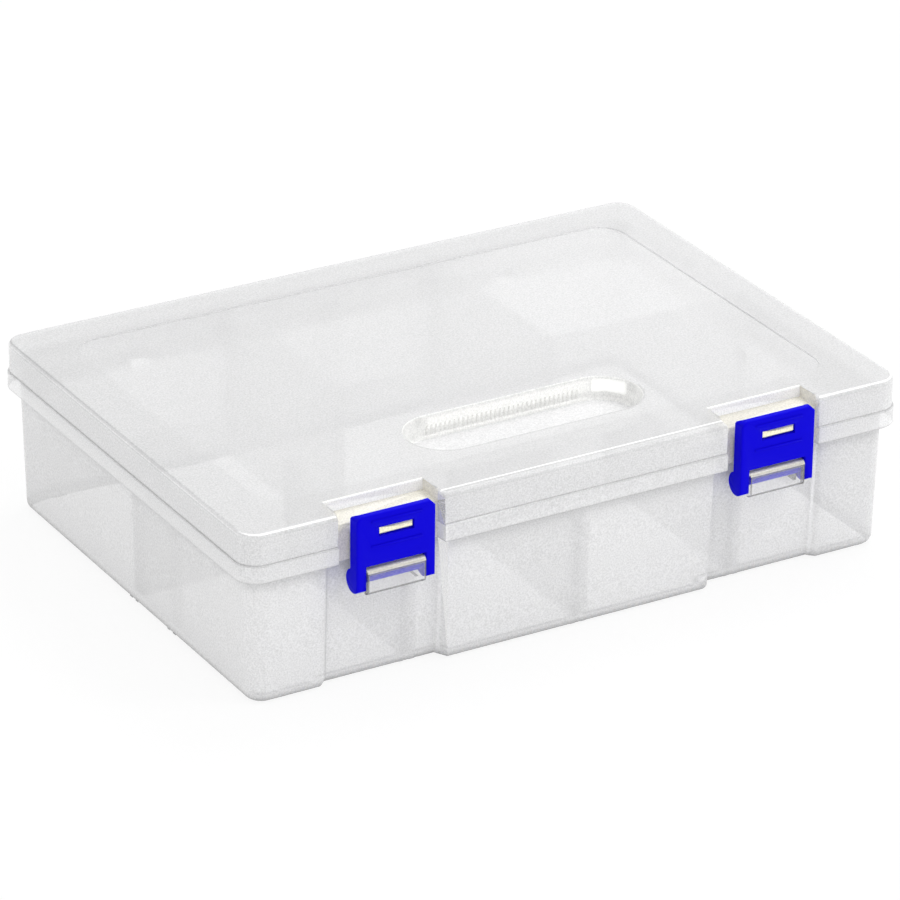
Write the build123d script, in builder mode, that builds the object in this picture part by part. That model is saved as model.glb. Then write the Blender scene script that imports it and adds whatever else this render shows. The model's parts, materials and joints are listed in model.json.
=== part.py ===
from build123d import *
import math
import os

os.makedirs("parts", exist_ok=True)

# All sizes are in millimetres. The origin is the centre of the underside, +X runs
# along the box, the front with the latches faces -Y and +Z is up.

# Overall size, taken at the band around the lid
box_length = 300.0
box_depth = 212.0
box_height = 75.2
middle_forward = 2.9

# Walls and fits
wall = 1.8
floor_thickness = 2.0
floor_foot = 2.2
seat_gap = 0.3
slide_gap = 0.25

# Lid
lid_corner = 9.5
skirt_height = 20.65
band_height = 7.65
band_bottom = box_height - skirt_height
band_top = band_bottom + band_height
band_step = 0.76
lid_edge_round = 2.0
band_edge_bevel = 0.5

# Bays that take the latches
latch_x = 0.29 * box_length
lid_bay_width = 44.0
lid_bay_ramp = 0.6
lid_bay_skin_setback = 2.5
lid_bay_back_setback = 14.0
lid_bay_depth = 4.7
lid_bay_skin_y = -box_depth / 2 + lid_bay_skin_setback
lid_bay_back_y = -box_depth / 2 + lid_bay_back_setback
lid_bay_shelf_z = box_height - lid_bay_depth
lid_bay_edge_round = 0.8

# Tub, measured along its floor edge
base_inset_side = 5.6
base_inset_end = 5.0
base_draft_run = 1.8
base_corner = 7.5
base_bottom_round = 4.0
base_middle_forward = 2.3
base_bay_setback = 3.1
base_bay_width = 48.2
base_bay_ramp = 3.0
base_rim = lid_bay_shelf_z - wall - seat_gap

# Shallow panel and grip recess of the lid
panel_margin = 21.0
panel_front_margin = 22.0
panel_half_length = box_length / 2 - panel_margin
panel_front_y = -box_depth / 2 + panel_front_margin
panel_back_y = box_depth / 2 - panel_margin
panel_corner = 12.0
panel_depth = 0.4
recess_setback = 47.0
recess_y = -box_depth / 2 + recess_setback
recess_straight = 72.0
recess_radius = 16.5
recess_depth = 10.2
recess_floor_z = box_height - recess_depth
recess_floor_bevel = 1.6
recess_mouth_round = 0.8

# Latch
latch_top_z = box_height
latch_width = 34.5
latch_stand_out = 4.5
latch_front_y = -box_depth / 2 - latch_stand_out
latch_plate = 2.5
latch_flange = 2.2
latch_flange_depth = 5.5
latch_flange_back_y = latch_front_y + latch_flange_depth
latch_flange_drop = 1.6
latch_notch_half = 13.3
latch_notch_drop = 21.6
latch_notch_z = latch_top_z - latch_notch_drop
latch_slot_length = 15.5
latch_slot_height = 4.0
latch_slot_drop = 9.9
latch_slot_bottom_z = latch_top_z - latch_slot_drop
latch_slot_top_z = latch_slot_bottom_z + latch_slot_height
latch_corner = 2.2
latch_edge_round = 0.8
pivot_inset = 3.7
pivot_drop = 28.2
pivot_y = latch_front_y + pivot_inset
pivot_z = latch_top_z - pivot_drop
knuckle_radius = 5.0
latch_bar_radius = 1.75
latch_bore_gap = 0.05
latch_line_z = (latch_top_z - 13.6, latch_top_z - 2.9)
latch_line_length = 22.0
latch_line_height = 0.9
latch_line_rise = 0.35

# Catch tooth on the lid
tooth_width = 14.4
tooth_recess = 0.7
tooth_fit = 0.4
tooth_nose = 0.7
tooth_reach_y = latch_front_y + tooth_recess
tooth_bottom_z = latch_slot_bottom_z + tooth_fit
tooth_top_z = latch_slot_top_z - tooth_fit

# Latch bracket on the tub
bracket_half_width = 12.8
bracket_above_pivot = 5.0
bracket_below_pivot = 5.8
bracket_proud = 0.5
bracket_top_z = pivot_z + bracket_above_pivot
bracket_bottom_z = pivot_z - bracket_below_pivot
bracket_front_y = latch_front_y - bracket_proud
bracket_wall = 1.4
bracket_edge_round = 1.8
bracket_snap_slot = 3.0

# Rear snap hinges
hinge_x = latch_x
hinge_stand_out = 3.5
hinge_drop = 2.55
hinge_y = box_depth / 2 + hinge_stand_out
hinge_z = band_bottom - hinge_drop
hinge_bar_radius = 2.0
hinge_bore_gap = 0.05
hinge_hook_radius = 3.9
hinge_hook_width = 10.0
hinge_hook_slot = 3.2
hinge_arm_top_z = hinge_z + 2.1
hinge_arm_bottom_z = hinge_z - 3.9
hinge_lug_radius = 3.8
hinge_lug_width = 4.0
hinge_side_gap = 0.4

# Dividers and the rib pairs that hold them
divider_thickness = 2.0
divider_top_gap = 0.6
divider_tall_top = box_height - wall - divider_top_gap
divider_low_top = 0.625 * box_height
rib_thickness = 2.2
rib_reach = 2.4
rib_buried = 0.8
divider_rib_thickness = 1.4
divider_rib_reach = 2.0
front_cross_x = (-box_length / 4, 0.0, box_length / 4)
rear_cross_x = (-0.163 * box_length, 0.163 * box_length)
rear_rib_x = (rear_cross_x[0], 0.0, rear_cross_x[1])
side_rib_y = (-0.151 * box_depth, 0.0)
rib_top_step = 2.0
front_rib_top = divider_low_top
side_rib_top = front_rib_top - rib_top_step
rear_rib_top = 0.8 * box_height
divider_foot_round = 4.5

# Positions that follow from the values above
half_length = box_length / 2
half_depth = box_depth / 2
draft_angle = math.degrees(math.atan(base_draft_run / base_rim))
lid_under_z = box_height - wall
tub_foot_x = half_length - base_inset_side
tub_foot_y = half_depth - base_inset_end
rib_pair_offset = divider_thickness / 2 + slide_gap + rib_thickness / 2
divider_rib_offset = divider_thickness / 2 + slide_gap + divider_rib_thickness / 2


def wall_shift(z):
    # how far the drafted tub wall has moved outward at height z
    return base_draft_run * z / base_rim


def plan_outline(reach, back_y, side_y, middle_y, bay_y, bay_width, bay_ramp, corner):
    # outline of the box seen from above: straight back, front with two bays
    bay_outer = latch_x + bay_width / 2
    bay_inner = latch_x - bay_width / 2
    right = [
        (reach, back_y),
        (reach, side_y),
        (bay_outer + bay_ramp, side_y),
        (bay_outer, bay_y),
        (bay_inner, bay_y),
        (bay_inner - bay_ramp, middle_y),
    ]
    left = [(-x, y) for x, y in reversed(right)]
    with BuildSketch() as outline:
        with BuildLine():
            Polyline(*right, *left, close=True)
        make_face()
        fillet(outline.vertices().filter_by(lambda v: abs(v.X) > reach - 1.0), corner)
    return outline.sketch


def tub_outline(inset):
    # outline of the tub at floor level, moved inward by the given amount
    depth = tub_foot_y - inset
    return plan_outline(
        tub_foot_x - inset,
        depth,
        -depth,
        -depth - base_middle_forward,
        -depth + base_bay_setback,
        base_bay_width + 2 * inset,
        base_bay_ramp,
        base_corner - inset,
    )


def lid_outline(inset, bay_inset):
    # outline of the lid, moved inward from the band by the given amount
    depth = half_depth - inset
    return plan_outline(
        half_length - inset,
        depth,
        -depth,
        -depth - middle_forward,
        lid_bay_skin_y + bay_inset,
        lid_bay_width + 2 * bay_inset,
        lid_bay_ramp,
        lid_corner - inset,
    )


def bay_block(grow, bottom_z):
    # both latch bays of the lid as solid blocks, grown sideways and backward
    with BuildPart() as block:
        with BuildSketch(Plane.XY.offset(bottom_z)):
            with Locations(
                (-latch_x, lid_bay_back_y + grow),
                (latch_x, lid_bay_back_y + grow),
            ):
                Rectangle(
                    lid_bay_width + 2 * grow,
                    half_depth,
                    align=(Align.CENTER, Align.MAX),
                )
        extrude(amount=box_height)
    return block.part


# Tub: the drafted hollow, with a slanted foot where it meets the floor
foot_top_z = floor_thickness + floor_foot
foot_inset = wall - wall_shift(foot_top_z)
with BuildPart() as tub_hollow:
    with BuildSketch(Plane.XY.offset(floor_thickness)):
        add(tub_outline(foot_inset + floor_foot))
    extrude(amount=floor_foot, taper=-45)
    with BuildSketch(Plane.XY.offset(foot_top_z)):
        add(tub_outline(foot_inset))
    extrude(amount=base_rim, taper=-draft_angle)

# Tub
with BuildPart() as base:
    with BuildSketch():
        add(tub_outline(0))
    extrude(amount=base_rim, taper=-draft_angle)
    fillet(
        base.edges().filter_by(lambda e: abs(e.center().Z) < 0.01),
        base_bottom_round,
    )
    add(tub_hollow.part, mode=Mode.SUBTRACT)

    # guide ribs on the front wall, one pair for each front cross divider
    front_wall_y = -(tub_foot_y - wall)
    for x in front_cross_x:
        if x == 0.0:
            reach_y = front_wall_y - base_middle_forward
        else:
            reach_y = front_wall_y + base_bay_setback
        for side in (-1, 1):
            with BuildSketch(Plane.XY.offset(floor_thickness - rib_buried)):
                with Locations((x + side * rib_pair_offset, reach_y - wall_shift(front_rib_top))):
                    Rectangle(
                        rib_thickness,
                        rib_reach + wall_shift(front_rib_top),
                        align=(Align.CENTER, Align.MIN),
                    )
            extrude(amount=front_rib_top - floor_thickness + rib_buried)

    # guide ribs on the rear wall: two pairs in use and a spare pair between them
    rear_wall_y = tub_foot_y - wall
    for x in rear_rib_x:
        for side in (-1, 1):
            with BuildSketch(Plane.XY.offset(floor_thickness - rib_buried)):
                with Locations((x + side * rib_pair_offset, rear_wall_y + wall_shift(rear_rib_top))):
                    Rectangle(
                        rib_thickness,
                        rib_reach + wall_shift(rear_rib_top),
                        align=(Align.CENTER, Align.MAX),
                    )
            extrude(amount=rear_rib_top - floor_thickness + rib_buried)

    # guide ribs on the two side walls: the pair in use and a spare pair in front of it
    side_wall_x = tub_foot_x - wall
    for y in side_rib_y:
        for side in (-1, 1):
            for end in (-1, 1):
                with BuildSketch(Plane.XY.offset(floor_thickness - rib_buried)):
                    middle_x = end * (side_wall_x + (wall_shift(side_rib_top) - rib_reach) / 2)
                    with Locations((middle_x, y + side * rib_pair_offset)):
                        Rectangle(rib_reach + wall_shift(side_rib_top), rib_thickness)
                extrude(amount=side_rib_top - floor_thickness + rib_buried)

    # latch brackets: hollow boxes on the bay walls, open below
    bay_wall_y = -(tub_foot_y - base_bay_setback)
    for x in (-latch_x, latch_x):
        with BuildSketch(Plane.YZ.offset(x - bracket_half_width)) as bracket_side:
            with BuildLine():
                Polyline(
                    (bay_wall_y + wall / 2, bracket_bottom_z),
                    (bay_wall_y + wall / 2, bracket_top_z),
                    (bracket_front_y, bracket_top_z),
                    (bracket_front_y, bracket_bottom_z),
                    close=True,
                )
            make_face()
            fillet(
                bracket_side.vertices().filter_by(lambda v: abs(v.X - bracket_front_y) < 0.1),
                bracket_edge_round,
            )
        extrude(amount=2 * bracket_half_width)
        with BuildSketch(Plane.XY.offset(bracket_bottom_z)):
            with Locations((x, bay_wall_y - wall / 2)):
                Rectangle(
                    2 * (bracket_half_width - bracket_wall),
                    bay_wall_y - wall / 2 - bracket_front_y - bracket_wall,
                    align=(Align.CENTER, Align.MAX),
                )
        extrude(amount=bracket_top_z - bracket_bottom_z - bracket_wall, mode=Mode.SUBTRACT)
        with BuildSketch(Plane.YZ.offset(x - bracket_half_width)):
            with Locations((pivot_y, pivot_z)):
                Circle(latch_bar_radius + latch_bore_gap)
            with Locations((pivot_y, pivot_z)):
                Rectangle(bracket_snap_slot, knuckle_radius + 1.0, align=(Align.CENTER, Align.MAX))
        extrude(amount=2 * bracket_half_width, mode=Mode.SUBTRACT)

    # rear hinge hooks: an arm from the wall to an open ring
    for x in (-hinge_x, hinge_x):
        with BuildSketch(Plane.YZ.offset(x - hinge_hook_width / 2)):
            with Locations((tub_foot_y - wall / 2, hinge_arm_bottom_z)):
                Rectangle(
                    hinge_y - tub_foot_y + wall / 2,
                    hinge_arm_top_z - hinge_arm_bottom_z,
                    align=(Align.MIN, Align.MIN),
                )
            with Locations((hinge_y, hinge_z)):
                Circle(hinge_hook_radius)
            with Locations((hinge_y, hinge_z)):
                Circle(hinge_bar_radius + hinge_bore_gap, mode=Mode.SUBTRACT)
                Rectangle(
                    hinge_hook_slot,
                    2 * hinge_hook_radius,
                    align=(Align.CENTER, Align.MIN),
                    mode=Mode.SUBTRACT,
                )
        extrude(amount=hinge_hook_width)

# Lid: the grip recess as a solid, bevelled where it meets its floor
with BuildPart() as recess_hollow:
    with BuildSketch(Plane.XY.offset(recess_floor_z)):
        with Locations((0, recess_y)):
            SlotCenterToCenter(recess_straight, 2 * recess_radius)
    extrude(amount=box_height - recess_floor_z)
    chamfer(
        recess_hollow.edges().filter_by(lambda e: abs(e.center().Z - recess_floor_z) < 0.01),
        recess_floor_bevel,
    )

# Lid: the hollow under it, with the bay shelves and the recess basin left standing
with BuildPart() as lid_hollow:
    with BuildSketch(Plane.XY.offset(band_bottom)):
        add(lid_outline(band_step + wall, wall))
    extrude(amount=lid_under_z - band_bottom)
    add(bay_block(wall, lid_bay_shelf_z - wall), mode=Mode.SUBTRACT)
    with BuildSketch(Plane.XY.offset(recess_floor_z - wall)):
        with Locations((0, recess_y)):
            SlotCenterToCenter(recess_straight, 2 * (recess_radius + wall))
    extrude(amount=box_height, mode=Mode.SUBTRACT)

# Lid: the band along the lower edge of the skirt
with BuildPart() as lid_band:
    with BuildSketch(Plane.XY.offset(band_bottom)):
        add(lid_outline(0, 0))
    extrude(amount=band_top - band_bottom)
    chamfer(
        lid_band.edges().group_by(Axis.Z)[0] + lid_band.edges().group_by(Axis.Z)[-1],
        band_edge_bevel,
    )

# Lid
with BuildPart() as lid:
    with BuildSketch(Plane.XY.offset(band_bottom + band_edge_bevel)):
        add(lid_outline(band_step, 0))
    extrude(amount=box_height - band_bottom - band_edge_bevel)
    fillet(lid.edges().filter_by(lambda e: abs(e.center().Z - box_height) < 0.01), lid_edge_round)
    add(lid_band.part)
    add(bay_block(0, lid_bay_shelf_z), mode=Mode.SUBTRACT)
    add(lid_hollow.part, mode=Mode.SUBTRACT)
    fillet(
        lid.edges()
        .filter_by(Axis.X)
        .filter_by(lambda e: abs(e.center().Z - box_height) < 0.01)
        .filter_by(lambda e: abs(e.center().Y - lid_bay_back_y) < 0.1),
        lid_bay_edge_round,
    )

    # shallow panel
    with BuildSketch(Plane.XY.offset(box_height - panel_depth)):
        with Locations((0, (panel_front_y + panel_back_y) / 2)):
            RectangleRounded(2 * panel_half_length, panel_back_y - panel_front_y, panel_corner)
    extrude(amount=panel_depth, mode=Mode.SUBTRACT)

    # grip recess
    add(recess_hollow.part, mode=Mode.SUBTRACT)
    fillet(
        lid.edges()
        .filter_by(lambda e: abs(e.center().Z - box_height + panel_depth) < 0.01)
        .filter_by(lambda e: abs(e.center().X) < recess_straight / 2 + recess_radius)
        .filter_by(lambda e: abs(e.center().Y - recess_y) < recess_radius + 0.1),
        recess_mouth_round,
    )

    # catch teeth
    for x in (-latch_x, latch_x):
        with BuildSketch(Plane.YZ.offset(x - tooth_width / 2)) as tooth_side:
            with BuildLine():
                Polyline(
                    (lid_bay_skin_y + wall / 2, tooth_bottom_z),
                    (lid_bay_skin_y + wall / 2, tooth_top_z),
                    (tooth_reach_y, tooth_top_z),
                    (tooth_reach_y, tooth_bottom_z + tooth_nose),
                    (tooth_reach_y + tooth_nose, tooth_bottom_z),
                    close=True,
                )
            make_face()
        extrude(amount=tooth_width)

    # hinge lugs and bars
    lug_offset = hinge_hook_width / 2 + hinge_side_gap
    for x in (-hinge_x, hinge_x):
        for start in (x - lug_offset - hinge_lug_width, x + lug_offset):
            with BuildSketch(Plane.YZ.offset(start)):
                with Locations((hinge_y, hinge_z)):
                    Circle(hinge_lug_radius)
                with BuildLine():
                    Polyline(
                        (half_depth - wall / 2, band_bottom),
                        (half_depth - wall / 2, band_top),
                        (half_depth, band_top),
                        (hinge_y + hinge_lug_radius, hinge_z),
                        (hinge_y, hinge_z),
                        close=True,
                    )
                make_face()
            extrude(amount=hinge_lug_width)
        with BuildSketch(Plane.YZ.offset(x - lug_offset - hinge_lug_width / 2)):
            with Locations((hinge_y, hinge_z)):
                Circle(hinge_bar_radius)
        extrude(amount=2 * lug_offset + hinge_lug_width)


def latch_part(x):
    # one latch centred on x
    left = x - latch_width / 2
    plate_back_y = latch_front_y + latch_plate
    with BuildPart() as latch:
        # flanges, legs and knuckles in side view
        with BuildSketch(Plane.YZ.offset(left)):
            with BuildLine():
                Polyline(
                    (latch_front_y, latch_top_z),
                    (plate_back_y, latch_top_z),
                    (latch_flange_back_y, latch_top_z - latch_flange_drop),
                    (latch_flange_back_y, pivot_z),
                    (latch_front_y, pivot_z),
                    close=True,
                )
            make_face()
            with Locations((pivot_y, pivot_z)):
                Circle(knuckle_radius)
        extrude(amount=latch_width)
        # front of the plate is flush, so what the knuckles add in front comes off
        with BuildSketch(Plane.XY.offset(pivot_z - 2 * knuckle_radius)):
            with Locations((x, latch_front_y)):
                Rectangle(2 * latch_width, latch_width, align=(Align.CENTER, Align.MAX))
        extrude(amount=latch_top_z, mode=Mode.SUBTRACT)
        # slanted top corners, then a rounded outline on the front
        chamfer(
            latch.edges()
            .filter_by(Axis.Y)
            .filter_by(lambda e: abs(e.center().Z - latch_top_z) < 0.01)
            .filter_by(lambda e: abs(abs(e.center().X - x) - latch_width / 2) < 0.01),
            latch_corner,
        )
        fillet(
            latch.edges().filter_by(lambda e: abs(e.center().Y - latch_front_y) < 0.01),
            latch_edge_round,
        )
        # hollow behind the plate, between the flanges
        with BuildSketch(Plane.XY.offset(latch_notch_z)):
            with Locations((x, plate_back_y)):
                Rectangle(
                    latch_width - 2 * latch_flange,
                    latch_width,
                    align=(Align.CENTER, Align.MIN),
                )
        extrude(amount=latch_top_z, mode=Mode.SUBTRACT)
        # notch between the legs
        with BuildSketch(Plane.XY.offset(pivot_z - 2 * knuckle_radius)):
            with Locations((x, pivot_y)):
                Rectangle(2 * latch_notch_half, latch_width)
        extrude(amount=latch_notch_z - pivot_z + 2 * knuckle_radius, mode=Mode.SUBTRACT)
        # slot that takes the catch tooth
        with BuildSketch(Plane.XY.offset(latch_slot_bottom_z)):
            with Locations((x, latch_front_y)):
                Rectangle(latch_slot_length, latch_width)
        extrude(amount=latch_slot_top_z - latch_slot_bottom_z, mode=Mode.SUBTRACT)
        # two raised lines across the plate
        for line_z in latch_line_z:
            with BuildSketch(Plane.XZ.offset(-latch_front_y - 0.5)):
                with Locations((x, line_z)):
                    Rectangle(latch_line_length, latch_line_height)
            extrude(amount=latch_line_rise + 0.5)
        # pivot bar between the legs
        with BuildSketch(Plane.YZ.offset(left + latch_flange / 2)):
            with Locations((pivot_y, pivot_z)):
                Circle(latch_bar_radius)
        extrude(amount=latch_width - latch_flange)
    return latch.part


# Latches
latch_left = latch_part(-latch_x)
latch_right = latch_part(latch_x)

# Lengthwise divider, with rib pairs for the cross dividers on both faces
with BuildPart() as lengthwise_divider:
    with BuildSketch(Plane.XZ.offset(-divider_thickness / 2)) as long_side:
        foot_x = side_wall_x - seat_gap
        top_x = foot_x + wall_shift(divider_tall_top)
        with BuildLine():
            Polyline(
                (-foot_x, floor_thickness),
                (foot_x, floor_thickness),
                (top_x, divider_tall_top),
                (-top_x, divider_tall_top),
                close=True,
            )
        make_face()
        fillet(long_side.vertices().group_by(Axis.Y)[0], divider_foot_round)
        fillet(long_side.vertices().group_by(Axis.Y)[-1], divider_thickness)
    extrude(amount=divider_thickness)
    face_out = divider_thickness / 2
    for places, side_y, top in ((front_cross_x, -1, divider_low_top), (rear_cross_x, 1, divider_tall_top)):
        for x in places:
            for side in (-1, 1):
                with BuildSketch(Plane.XY.offset(floor_thickness)):
                    middle_y = side_y * (face_out + divider_rib_reach / 2)
                    with Locations((x + side * divider_rib_offset, middle_y)):
                        Rectangle(divider_rib_thickness, divider_rib_reach)
                extrude(amount=top - floor_thickness)


def cross_divider(x, wall_y, direction, top):
    # one cross divider from the lengthwise divider to the front or rear wall
    near_y = direction * (divider_thickness / 2 + slide_gap)
    foot_y = direction * (wall_y - seat_gap)
    top_y = foot_y + direction * wall_shift(top)
    with BuildPart() as cross:
        with BuildSketch(Plane.YZ.offset(x - divider_thickness / 2)) as cross_side:
            with BuildLine():
                Polyline(
                    (near_y, floor_thickness),
                    (foot_y, floor_thickness),
                    (top_y, top),
                    (near_y, top),
                    close=True,
                )
            make_face()
            outer = cross_side.vertices().filter_by(lambda v: abs(v.X) > wall_y / 2)
            fillet(outer.group_by(Axis.Y)[0], divider_foot_round)
            outer = cross_side.vertices().filter_by(lambda v: abs(v.X) > wall_y / 2)
            fillet(outer.group_by(Axis.Y)[-1], divider_thickness)
        extrude(amount=divider_thickness)
    return cross.part


# Cross dividers
inner_depth = tub_foot_y - wall
rear_divider_left = cross_divider(rear_cross_x[0], inner_depth, 1, divider_tall_top)
rear_divider_right = cross_divider(rear_cross_x[1], inner_depth, 1, divider_tall_top)
front_divider_left = cross_divider(
    front_cross_x[0], inner_depth - base_bay_setback, -1, divider_low_top
)
front_divider_middle = cross_divider(
    front_cross_x[1], inner_depth + base_middle_forward, -1, divider_low_top
)
front_divider_right = cross_divider(
    front_cross_x[2], inner_depth - base_bay_setback, -1, divider_low_top
)

base.part.label = "base"
export_step(base.part, "parts/base.step")
lid.part.label = "lid"
export_step(lid.part, "parts/lid.step")
lengthwise_divider.part.label = "lengthwise_divider"
export_step(lengthwise_divider.part, "parts/lengthwise_divider.step")
latch_left.label = "latch_left"
export_step(latch_left, "parts/latch_left.step")
latch_right.label = "latch_right"
export_step(latch_right, "parts/latch_right.step")
rear_divider_left.label = "rear_divider_left"
export_step(rear_divider_left, "parts/rear_divider_left.step")
rear_divider_right.label = "rear_divider_right"
export_step(rear_divider_right, "parts/rear_divider_right.step")
front_divider_left.label = "front_divider_left"
export_step(front_divider_left, "parts/front_divider_left.step")
front_divider_middle.label = "front_divider_middle"
export_step(front_divider_middle, "parts/front_divider_middle.step")
front_divider_right.label = "front_divider_right"
export_step(front_divider_right, "parts/front_divider_right.step")
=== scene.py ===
import json
import math

import bmesh
import bpy
from mathutils import Matrix, Vector
from mathutils.bvhtree import BVHTree

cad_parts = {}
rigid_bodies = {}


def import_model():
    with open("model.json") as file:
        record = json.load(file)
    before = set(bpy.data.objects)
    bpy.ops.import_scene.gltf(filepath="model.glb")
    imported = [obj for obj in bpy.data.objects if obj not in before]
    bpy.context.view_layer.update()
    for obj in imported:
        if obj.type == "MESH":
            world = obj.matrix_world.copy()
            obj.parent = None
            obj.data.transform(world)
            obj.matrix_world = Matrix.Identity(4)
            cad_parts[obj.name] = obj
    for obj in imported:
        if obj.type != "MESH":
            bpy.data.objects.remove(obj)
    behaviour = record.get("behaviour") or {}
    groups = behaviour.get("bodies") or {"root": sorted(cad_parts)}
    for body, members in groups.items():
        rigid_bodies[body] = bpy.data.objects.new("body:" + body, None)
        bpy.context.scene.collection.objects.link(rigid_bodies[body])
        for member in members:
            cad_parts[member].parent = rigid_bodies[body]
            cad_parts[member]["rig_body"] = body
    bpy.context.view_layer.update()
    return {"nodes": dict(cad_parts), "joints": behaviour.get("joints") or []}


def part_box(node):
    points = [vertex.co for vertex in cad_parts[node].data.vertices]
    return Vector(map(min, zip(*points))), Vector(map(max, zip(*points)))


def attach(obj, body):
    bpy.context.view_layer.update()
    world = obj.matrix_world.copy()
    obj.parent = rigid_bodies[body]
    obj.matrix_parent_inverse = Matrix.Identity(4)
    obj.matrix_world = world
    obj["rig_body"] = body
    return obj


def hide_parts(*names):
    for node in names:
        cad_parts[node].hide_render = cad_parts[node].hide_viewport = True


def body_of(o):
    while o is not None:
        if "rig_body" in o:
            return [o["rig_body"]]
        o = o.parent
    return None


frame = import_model()

bl_info = {
    "name": "Compartment Storage Box",
    "version": (1, 0, 0),
    "blender": (4, 5, 0),
    "location": "3D View > Sidebar > Storage Box",
    "description": "Dresses the packed solids of a clear latch box in their finishes",
    "category": "Object",
}

MM = 0.001

# The frame's own places: the lid's end and top, the tub's foremost plane and a latch's bar
LID_END_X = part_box("lid")[1].x
LID_TOP_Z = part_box("lid")[1].z
BRACKET_FRONT_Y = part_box("base")[0].y
LATCH_BAR = next(Vector(j["pos_m"]) for j in frame["joints"] if j["child"] == "latch_right")
LATCH_X = LATCH_BAR.x

# Latch brackets: clear boxes round the bars
BRACKET_HALF_WIDTH = 13.1 * MM
BRACKET_BACK_Y = BRACKET_FRONT_Y + 11.7 * MM
BRACKET_BOTTOM_Z = LATCH_BAR.z - 6.1 * MM
BRACKET_TOP_Z = LATCH_BAR.z + 5.2 * MM
# Where the bracket's painted dark outline runs, standing in for shade at its edges
BRACKET_LOW_LINE_Z = BRACKET_BOTTOM_Z + 1.0 * MM
BRACKET_TOP_LINE_Z = BRACKET_TOP_Z - 2.1 * MM
BRACKET_END_LINE_OFFSET = BRACKET_HALF_WIDTH - 0.3 * MM

# Latch bays of the lid and the tub, and the lid's catch teeth
BAND_FRONT_Y = BRACKET_FRONT_Y + 5.0 * MM
BAY_HALF_WIDTH = 22.0 * MM
BAY_SKIN_Y = BAND_FRONT_Y + 2.5 * MM
BAY_BACK_Y = BAND_FRONT_Y + 14.0 * MM
BAY_MARGIN = 1.0 * MM
BAY_EDGE_OFFSET = 24.8 * MM
TOOTH_HALF_WIDTH = 7.2 * MM
TOOTH_BACK_Y = BAY_SKIN_Y - 0.1 * MM

# Grip recess: a long round-ended pocket in the lid, with fine ribs on its rear wall
RECESS_CENTRE_Y = BAND_FRONT_Y + 47.0 * MM
RECESS_HALF_STRAIGHT = 36.0 * MM
RECESS_RADIUS = 16.5 * MM
RECESS_WALL_DEPTH = 2.0 * MM
RECESS_MOUTH_OUT = 0.7 * MM
RECESS_FLOOR_Z = LID_TOP_Z - 10.2 * MM
RECESS_FLOOR_TOP_Z = LID_TOP_Z - 1.8 * MM
GRIP_RIB_LIFT = 0.8 * MM
GRIP_RIB_TAPER = 0.7
GRIP_RIB_SIDES = 12
GRIP_RIB_RINGS = 3

# Lid: corner centres, top edge, panel, skirt and band. A point's way out is its distance from
# a corner centre. Climb is height plus the way out, and tilt is height less the way out; the
# two tell how far round the top edge's quarter circle a point is
LID_CORNER_X = LID_END_X - 9.5 * MM
LID_CORNER_Y = -BAND_FRONT_Y - 9.5 * MM
LID_EDGE_CLIMB = LID_TOP_Z + 7.2 * MM
# The edge tilts, the face's start and fade, the flat reach and the rim, panel and skirt line
# heights place the lid's painted shade and painted highlights
LID_EDGE_TILT = LID_TOP_Z - 8.1 * MM
LID_EDGE_FOOT_TILT = LID_TOP_Z - 9.9 * MM
LID_FACE_START_Y = BAND_FRONT_Y + 4.0 * MM
LID_FACE_FADE = 6.0 * MM
LID_FLAT_OUT = 0.5 * MM
LID_RIM_LINE_Z = LID_TOP_Z - 0.06 * MM
LID_PANEL_LINE_Z = LID_TOP_Z - 0.2 * MM
LID_PANEL_FLOOR_Z = LID_TOP_Z - 0.8 * MM
LID_SKIRT_TOP_Z = LID_TOP_Z - 2.0 * MM
LID_SKIRT_LINE_Z = LID_TOP_Z - 3.3 * MM
BAND_TOP_Z = LID_TOP_Z - 13.0 * MM
BAND_BOTTOM_Z = LID_TOP_Z - 20.6 * MM

# Tub: guide ribs, foot, rear cells and the snap hinges behind; the foot, rim and cell values place
# painted shade and painted light
FRONT_RIB_X = 75.0 * MM
FRONT_RIB_TOP_Z = 47.0 * MM
RIB_PAIR_HALF_WIDTH = 3.2 * MM
FRONT_RIB_END_X = 90.0 * MM
FRONT_RIB_END_Y = BAND_FRONT_Y + 18.0 * MM
FRONT_WALL_Y = BAND_FRONT_Y + 16.0 * MM
FOOT_SHADE_TOP_Z = 5.5 * MM
RIM_SHADE_Z = 53.5 * MM
FLOOR_REACH_Z = 10.0 * MM
REAR_CELL_Y = 2.0 * MM
CELL_GLOW_START_X = -30.0 * MM
CELL_GLOW_LENGTH = 120.0 * MM
HINGE_Y = 103.5 * MM
HINGE_HALF_WIDTH = 18.0 * MM

# Painted lines of shade and highlight: half width and the blur beside it
HAIR_LINE = (0.1 * MM, 0.4 * MM)
EDGE_LINE = (0.2 * MM, 0.5 * MM)
BAND_FOOT_LINE = (0.4 * MM, 0.8 * MM)
MOUTH_LINE = (0.4 * MM, 0.6 * MM)
PANEL_LINE = (0.12 * MM, 0.03 * MM)
RIB_BAR = (RIB_PAIR_HALF_WIDTH, 0.6 * MM)
RIM_SHADE = (1.5 * MM, 4.0 * MM)
BRACKET_END_LINE = (0.4 * MM, 0.5 * MM)
BRACKET_LOW_LINE = (0.6 * MM, 0.5 * MM)
BRACKET_TOP_LINE = (0.2 * MM, 0.4 * MM)

# Painted light and painted shade on the recess's rear wall: place, half width and blur
RECESS_BAND = (LID_TOP_Z - 4.4 * MM, 1.8 * MM, 1.4 * MM)
RECESS_RIB_ROW = (3.0 * MM, 36.5 * MM, 2.0 * MM)
RECESS_GLINT = (46.2 * MM, 4.6 * MM, 0.8 * MM)
RECESS_LEFT_SHADE = (-38.8 * MM, 1.0 * MM, 1.2 * MM)
RECESS_RIGHT_SHADE = (52.4 * MM, 0.4 * MM, 0.6 * MM)
RECESS_SHADE_LEVEL = (LID_TOP_Z - 2.7 * MM, 1.8 * MM, 1.0 * MM)

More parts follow.
